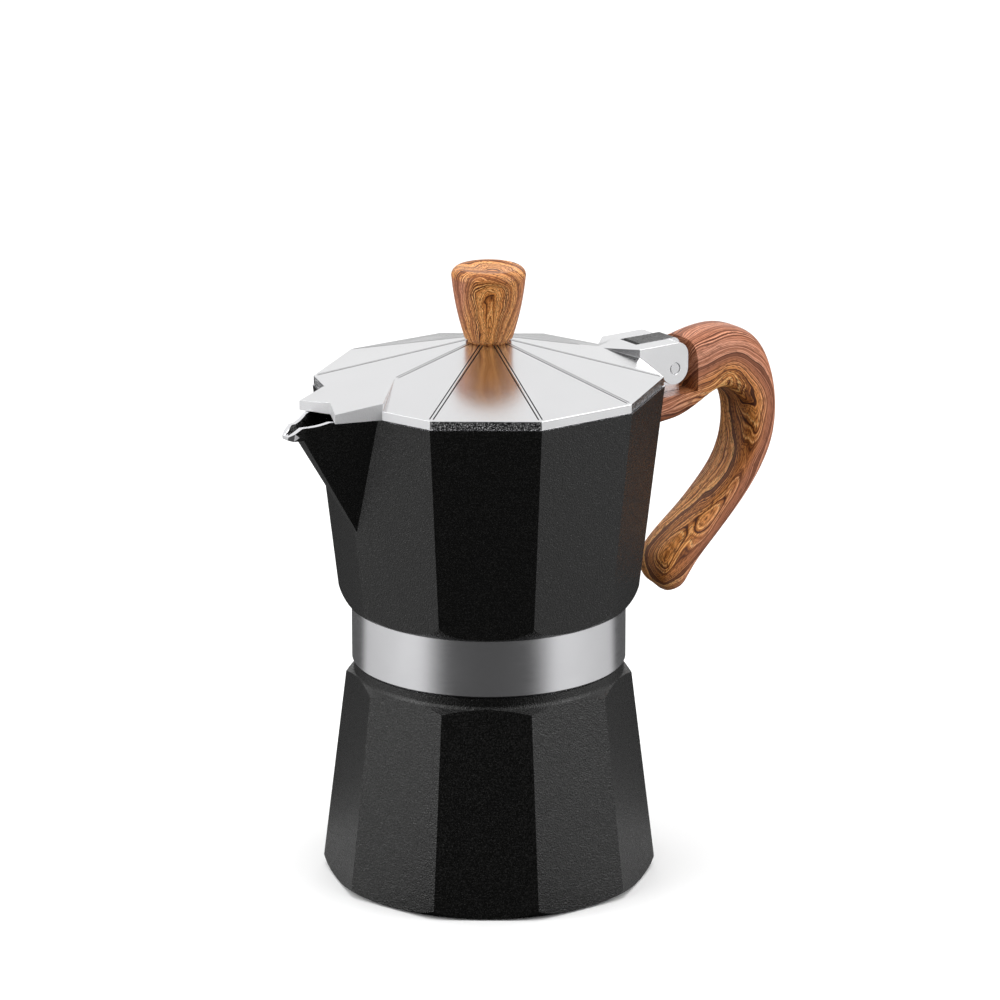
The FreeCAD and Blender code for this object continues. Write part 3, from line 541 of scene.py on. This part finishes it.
def make_knob():
    """The turned grip: a foot, a flared side, a rounded shoulder and a shallow dish in its top."""
    # The camera's azimuth: the wood figure and the painted light and shade on the knob both face it.
    figure_and_shade_azimuth = -35.2
    foot = KNOB_BASE + 0.5
    base_r = 6.0
    shoulder = KNOB_TOP - 2.6
    top_r = KNOB_R - 1.9
    dish_r = KNOB_R - 3.4
    dish_edge = KNOB_TOP - 0.35
    dish_depth = 0.45
    profile = [(0, KNOB_BASE), (base_r - 0.8, KNOB_BASE), (base_r - 0.8, foot)]
    profile += [(base_r - 0.25, foot), *arc((base_r, foot + 0.2), (KNOB_R, shoulder), 72, 1, 22)]
    profile += arc((KNOB_R, shoulder), (top_r, KNOB_TOP), 2.1, 1, 10)[1:]
    profile += arc((top_r, KNOB_TOP), (dish_r, dish_edge), 4.0, 1, 5)[1:]
    profile += [(radius, dish_edge - dish_depth * (1 - radius / dish_r)) for radius in (4.2, 2.6, 1.2)]
    profile += [(0, dish_edge - dish_depth)]
    mesh = lathe("knob_grip", profile, 144)

    def grain_of(place):
        height = place.z - KNOB_BASE
        spread = 0.5 + 0.055 * height
        turn = math.radians(figure_and_shade_azimuth)
        across = place.x * math.cos(turn) + place.y * math.sin(turn) - 0.8 - 0.12 * (height - 10)
        away = place.y * math.cos(turn) - place.x * math.sin(turn)
        arch = math.hypot(across / spread, 0.9 * max(0.0, height - 13.5)) + 0.10 * height
        # The tone is lighter towards the knob's outline seen from the camera's side and darker across its
        # middle: painted light and shade.
        painted_shade = smooth_share(KNOB_R - abs(across), 1.0, 4.5)
        top = smooth_share(KNOB_TOP - 1.6 - place.z, -0.3, 1.2)
        return (height * 2.5, arch * 1.9, away * 0.6 + across * 0.3), painted_shade * top + 0.8 * (1 - top)

    give_grain(mesh, grain_of)
    paint_mesh(mesh, FINISHES["wood_effect"])
    new_piece("knob_grip", mesh, "lid_set", "wood_effect", "knob")


# ---------------------------------------------------------------- cast pieces with softened edges
class GeometryTree(Nodes):
    """A geometry node tree with named inputs."""

    def __init__(self, name, inputs):
        self.tree = bpy.data.node_groups.new(name, "GeometryNodeTree")
        self.sockets = {}
        for label, kind, value in inputs:
            socket = self.tree.interface.new_socket(label, in_out="INPUT", socket_type=kind)
            if value is not None:
                socket.default_value = value
            self.sockets[label] = socket.identifier
        self.tree.interface.new_socket("Geometry", in_out="OUTPUT", socket_type="NodeSocketGeometry")
        self.input = self.tree.nodes.new("NodeGroupInput")
        self.output = self.tree.nodes.new("NodeGroupOutput")

    def given(self, label):
        return self.input.outputs[label]

    def vector(self, x=0.0, y=0.0, z=0.0):
        return self.node("ShaderNodeCombineXYZ", X=x, Y=y, Z=z).outputs["Vector"]

    def finish(self, geometry, material):
        real = self.node("GeometryNodeRealizeInstances", Geometry=geometry).outputs["Geometry"]
        done = self.node("GeometryNodeSetMaterial", Geometry=real, Material=material).outputs["Geometry"]
        self.tree.links.new(done, self.output.inputs["Geometry"])

    def mesh(self, name, **values):
        """The tree's result as a plain mesh, for the given input values."""
        holder = bpy.data.objects.new(name, bpy.data.meshes.new(name))
        bpy.context.scene.collection.objects.link(holder)
        modifier = holder.modifiers.new("form", "NODES")
        modifier.node_group = self.tree
        for label, value in values.items():
            modifier[self.sockets[label.replace("_", " ")]] = value
        graph = bpy.context.evaluated_depsgraph_get()
        result = bpy.data.meshes.new_from_object(holder.evaluated_get(graph))
        result.name = name
        holder.modifiers.remove(modifier)
        bpy.data.objects.remove(holder)
        return result


def make_groove_tree():
    """Pairs of straight four-sided bars along the creases of a pyramid: the cutters of its grooves."""
    tree = GeometryTree("crease_grooves", [
        ("Creases", "NodeSocketInt", FACETS),
        ("Short Every", "NodeSocketInt", 5),
        ("Top Radius", "NodeSocketFloat", 0.005),
        ("Edge Radius", "NodeSocketFloat", 0.04),
        ("Front Radius", "NodeSocketFloat", 0.03),
        ("Top Height", "NodeSocketFloat", 0.01),
        ("Slope", "NodeSocketFloat", 0.2),
        ("Spacing", "NodeSocketFloat", 0.001),
        ("Width", "NodeSocketFloat", 0.0002),
        ("Metal", "NodeSocketMaterial", None),
    ])
    index = tree.node("GeometryNodeInputIndex").outputs["Index"]
    crease = tree.math("FLOOR", tree.math("DIVIDE", index, 2.0))
    side = tree.math("SUBTRACT", tree.math("MODULO", index, 2.0), 0.5)
    short = tree.node("FunctionNodeCompare", {"data_type": "FLOAT", "operation": "EQUAL"},
                      A=tree.math("MODULO", crease, tree.given("Short Every")), B=0.0).outputs["Result"]
    points = tree.node("GeometryNodeMeshLine", Count=tree.math("MULTIPLY", tree.given("Creases"), 2.0))
    turn = tree.vector(z=tree.math("MULTIPLY", crease, 2 * math.pi / FACETS))
    offset = tree.vector(y=tree.math("MULTIPLY", side, tree.given("Spacing")))
    placed = tree.node("ShaderNodeVectorRotate", {"rotation_type": "EULER_XYZ"}, Vector=offset, Rotation=turn)
    spots = tree.node("GeometryNodeSetPosition", Geometry=points.outputs["Mesh"],
                      Position=placed.outputs["Vector"]).outputs["Geometry"]
    profile = tree.node("GeometryNodeCurvePrimitiveCircle", Resolution=4,
                        Radius=tree.math("MULTIPLY", tree.given("Width"), 0.7)).outputs["Curve"]
    sets = []
    for end, chosen in (("Edge Radius", tree.node("FunctionNodeBooleanMath", {"operation": "NOT"})),
                        ("Front Radius", None)):
        reach = tree.math("SUBTRACT", tree.given(end), tree.given("Top Radius"))
        fall = tree.math("MULTIPLY", reach, tree.given("Slope"))
        line = tree.node(
            "GeometryNodeCurvePrimitiveLine",
            Start=tree.vector(x=tree.given("Top Radius"), z=tree.given("Top Height")),
            End=tree.vector(x=tree.given(end), z=tree.math("SUBTRACT", tree.given("Top Height"), fall)),
        ).outputs["Curve"]
        bar = tree.node("GeometryNodeCurveToMesh", Curve=line, Profile_Curve=profile, Fill_Caps=True)
        if chosen:
            tree.feed(chosen.inputs[0], short)
        sets.append(tree.node(
            "GeometryNodeInstanceOnPoints", Points=spots, Instance=bar.outputs["Mesh"],
            Selection=chosen.outputs[0] if chosen else short, Rotation=turn,
        ).outputs["Instances"])
    joined = tree.node("GeometryNodeJoinGeometry")
    for instances in sets:
        tree.tree.links.new(instances, joined.inputs["Geometry"])
    tree.finish(joined.outputs["Geometry"], tree.given("Metal"))
    return tree


def make_lid():
    """The casting, with a pair of fine grooves cut along each crease, whose faces take near-black metal as
    painted shade.
    """
    slope = (KNOB_BASE - LID_EDGE) / (LID_R - LID_TOP_R)
    start = 4.6
    grooves = make_groove_tree().mesh(
        "lid_grooves", Top_Radius=start * MM, Edge_Radius=(LID_R - 1.0) * MM, Front_Radius=27.6 * MM,
        Top_Height=(KNOB_BASE + (LID_TOP_R - start) * slope) * MM, Slope=slope, Spacing=0.95 * MM,
        Width=0.30 * MM, Metal=FINISHES["groove_painted_shade"])
    cutter = bpy.data.objects.new("lid_grooves", grooves)
    bpy.context.scene.collection.objects.link(cutter)
    smooth = softened("lid", 0.22 * MM, sharp=30.0)
    paint_mesh(smooth, FINISHES["polished_aluminium"])
    mesh = baked("lid_casting", smooth, [
        ("BOOLEAN", {"operation": "DIFFERENCE", "object": cutter, "solver": "EXACT",
                     "material_mode": "TRANSFER"}),
        LEVEL_NORMALS,
    ])
    bpy.data.objects.remove(cutter)
    mark_faces(mesh, "cast", lambda place, normal: float(place.x < -COVER_START and abs(normal.z) < 0.6))
    new_piece("lid_casting", mesh, "lid_set", "polished_aluminium", "lid")


def make_valve_coil():
    """The spring, a copy of the node's mesh with the spring steel finish."""
    coil = nodes["valve_spring"].data.copy()
    coil.name = "valve_coil"
    paint_mesh(coil, FINISHES["spring_steel"])
    piece = new_piece("valve_coil", coil, "base", "spring_steel", "valve_spring")
    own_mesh(piece)


def facet_share(place):
    """Distance from the axis over the corner radius that a ten-sided form through the point would have."""
    turn = math.atan2(place.y, place.x) % (2 * math.pi / FACETS) - math.pi / FACETS
    return math.hypot(place.x, place.y) * math.cos(turn) / math.cos(math.pi / FACETS)


def collector_bare(place, normal):
    """The band, the inside, the rim, the lip's edge and nose, and the lug's cheeks carry no paint."""
    if place.x > RIM_R - 3 and abs(place.y) < 3.6 and (place.x > RIM_R - 0.3 or place.z > RIM_TOP + 0.1):
        return float(abs(normal.y) > 0.5)
    if place.z > RIM_TOP - 0.12 or place.z < BAND_TOP - 0.1 or place.x < NOSE + 2.0:
        return 1.0
    if place.x < -LIP_START:
        return float(normal.z > 0.45 or normal.x > 0.5)
    outer = RIM_R - CHAMBER_DRAFT * (RIM_TOP - place.z)
    return float(facet_share(place) < outer - CHAMBER_WALL and place.z > BAND_TOP + 3)


def boiler_bare(place, normal):
    """The inside and the threaded neck carry no paint."""
    inward = normal.x * place.x + normal.y * place.y < 0 and place.z > BOILER_FLOOR - 0.1
    floor = normal.z > 0.9 and place.z < BOILER_FLOOR + 0.5
    return float(inward or floor or place.z > SEAT)


def make_casting(node, body, width, bare_share):
    """A painted casting whose edges are rounded by the width, in millimetres."""
    mesh = softened(node, width * MM, sharp=20.0)
    mark_faces(mesh, "bare", bare_share)
    paint_mesh(mesh, FINISHES["black_paint"])
    new_piece(node + "_casting", mesh, body, "black_paint", node)


FINISHES = {
    "black_paint": make_paint(),
    "polished_aluminium": make_lid_metal(),
    # Near-black metal on the faces of the lid's grooves: painted shade in the grooves.
    "groove_painted_shade": make_metal("groove_painted_shade", (0.05, 0.05, 0.055), 0.01, 0.45, 0.6),
    "bare_aluminium": make_metal("bare_aluminium", (0.66, 0.66, 0.68), 0.03, 0.34, 0.46),
    "wood_effect": make_wood(),
    "brass": make_metal("brass", (0.72, 0.53, 0.24), 0.04, 0.22, 0.34),
    "steel": make_metal("steel", (0.72, 0.72, 0.73), 0.03, 0.20, 0.30),
    "spring_steel": make_metal("spring_steel", (0.72, 0.72, 0.73), 0.03, 0.20, 0.30),
    "silicone": make_seal("silicone"),
    "seal_white": make_seal("seal_white"),
}
for part in frame["record"]["subparts"]:
    show_node(part["node"], FINISHES[part["material_slot"]])
make_casting("boiler", "base", 0.45, boiler_bare)
make_casting("collector", "upper", 0.4, collector_bare)
make_lid()
make_handle()
make_knob()
make_valve_coil()


# ---------------------------------------------------------------- floor, light and camera
# Cosines, seen from the pot, between the camera's side and a place. The surroundings that the metal and the
# coating mirror are dim in front, and on the flanks behind; the camera itself sees them plain and pale.
FRONT_START, FRONT_FULL = 0.55, 0.88
FLANK_START, FLANK_FULL, FLANK_FADE, FLANK_GONE = -0.40, -0.62, -0.90, -0.97
NEAR_FULL, NEAR_GONE = 0.35, 0.55
FLOOR_REACH = 6.0
FLOOR_MIRRORED = (0.37, 0.37, 0.37)
FLOOR_DIM = (0.025, 0.025, 0.025)
SKY_START, SKY_FULL = 0.64, 0.90
SKY_BRIGHT = 0.95
SKY_DIM = 0.015
FLANK_LEFT = 0.03
FLANK_TOP_START, FLANK_TOP_FULL = 0.22, 0.08
SIDE_TURN = 68
SIDE_RISE = 22
CAMERA_SIDE = towards(CAMERA_AZIMUTH)
CAMERA_RISE = 16.713
CAMERA_DISTANCE = 1.3146
CAMERA_SHIFT = 2.84 * MM
CAMERA_AIM = 0.6171
CAMERA_LENS = 188.07


def make_floor():
    corners = [(-1, -1), (1, -1), (1, 1), (-1, 1)]
    mesh = bpy.data.meshes.new("floor")
    mesh.from_pydata([(x * FLOOR_REACH, y * FLOOR_REACH, 0) for x, y in corners], [], [(0, 1, 2, 3)])
    floor = bpy.data.objects.new("floor", mesh)
    bpy.context.scene.collection.objects.link(floor)
    finish = Finish("pale_floor", Roughness=0.7)
    place = finish.place()
    pale = finish.mix(finish.noise(place, 8.0, 3.0), (0.90, 0.90, 0.90), (0.94, 0.94, 0.94))
    away = finish.node("ShaderNodeVectorMath", {"operation": "NORMALIZE"}, Vector=place).outputs["Vector"]
    facing = finish.facing(away, CAMERA_SIDE)
    front = finish.between(facing, FRONT_START, FRONT_FULL)
    behind = finish.between(facing, FLANK_START, FLANK_FULL)
    flank = finish.between(facing, FLANK_GONE, FLANK_FADE)
    near = finish.between(finish.out(place), NEAR_GONE, NEAR_FULL)
    back = finish.math("MULTIPLY", behind, finish.math("MAXIMUM", near, flank))
    mirrored = finish.mix(finish.math("MAXIMUM", front, back), FLOOR_MIRRORED, FLOOR_DIM)
    finish.colour(finish.mix(finish.seen_directly(), mirrored, pale))
    paint_mesh(mesh, finish.material)


class Sky(Nodes):
    """Even surroundings."""

    def __init__(self, name):
        self.world = bpy.data.worlds.new(name)
        self.world.use_nodes = True
        self.tree = self.world.node_tree
        self.background = self.tree.nodes["Background"]
        self.background.inputs["Color"].default_value = (1.0, 1.0, 1.0, 1.0)
        bpy.context.scene.world = self.world


def make_sky():
    sky = Sky("studio")
    direction = sky.node("ShaderNodeTexCoord").outputs["Generated"]
    facing = sky.facing(direction, CAMERA_SIDE)
    height = sky.node("ShaderNodeSeparateXYZ", Vector=direction).outputs["Z"]
    bright = sky.between(facing, SKY_START, SKY_FULL, SKY_BRIGHT, SKY_DIM)
    behind = sky.between(facing, FLANK_START, FLANK_FULL)
    flank = sky.between(facing, FLANK_GONE, FLANK_FADE)
    low_down = sky.between(height, FLANK_TOP_START, FLANK_TOP_FULL)
    dim = sky.math("MULTIPLY", sky.math("MULTIPLY", behind, flank), low_down)
    mirrored = sky.math("MULTIPLY", bright, sky.between(dim, 0.0, 1.0, 1.0, FLANK_LEFT))
    seen = sky.seen_directly()
    strength = sky.node("ShaderNodeMix", {"data_type": "FLOAT"}, Factor=seen, A=mirrored, B=1.0)
    sky.feed(sky.background.inputs["Strength"], strength.outputs["Result"])


def add_softbox(name, azimuth, elevation, distance, size, power):
    """Area light that faces the pot."""
    away = towards(azimuth, elevation)
    data = bpy.data.lights.new(name, "AREA")
    data.shape = "RECTANGLE"
    data.size, data.size_y = size
    data.energy = power
    light = bpy.data.objects.new(name, data)
    light.location = Vector((0, 0, (cad_low.z + cad_high.z) / 2)) + away * distance
    light.rotation_mode = "QUATERNION"
    light.rotation_quaternion = (-away).to_track_quat("-Z", "Y")
    bpy.context.scene.collection.objects.link(light)
    return light


def make_lights():
    """Two softboxes at the front's sides, and a large one above that the polished lid doesn't mirror."""
    add_softbox("left_box", CAMERA_AZIMUTH - SIDE_TURN, SIDE_RISE, 1.1, (0.5, 0.9), 5.2)
    add_softbox("right_box", CAMERA_AZIMUTH + SIDE_TURN, SIDE_RISE, 1.1, (0.5, 0.9), 4.4)
    top_box = add_softbox("top_box", CAMERA_AZIMUTH, 88, 1.7, (2.4, 2.4), 21.0)
    top_box.visible_glossy = False


def make_camera():
    data = bpy.data.cameras.new("camera")
    data.sensor_width = 36.0
    data.lens = CAMERA_LENS
    data.clip_start = 0.05
    data.clip_end = 60.0
    camera = bpy.data.objects.new("camera", data)
    away = towards(CAMERA_AZIMUTH, CAMERA_RISE)
    right = towards(CAMERA_AZIMUTH + 90)
    aim = right * CAMERA_SHIFT + Vector((0, 0, CAMERA_AIM * cad_high.z))
    camera.location = aim + away * CAMERA_DISTANCE
    camera.rotation_mode = "QUATERNION"
    camera.rotation_quaternion = (-away).to_track_quat("-Z", "Y")
    bpy.context.scene.collection.objects.link(camera)
    bpy.context.scene.camera = camera


make_camera()
make_floor()
make_sky()
make_lights()
bpy.context.scene.view_settings.view_transform = "Standard"
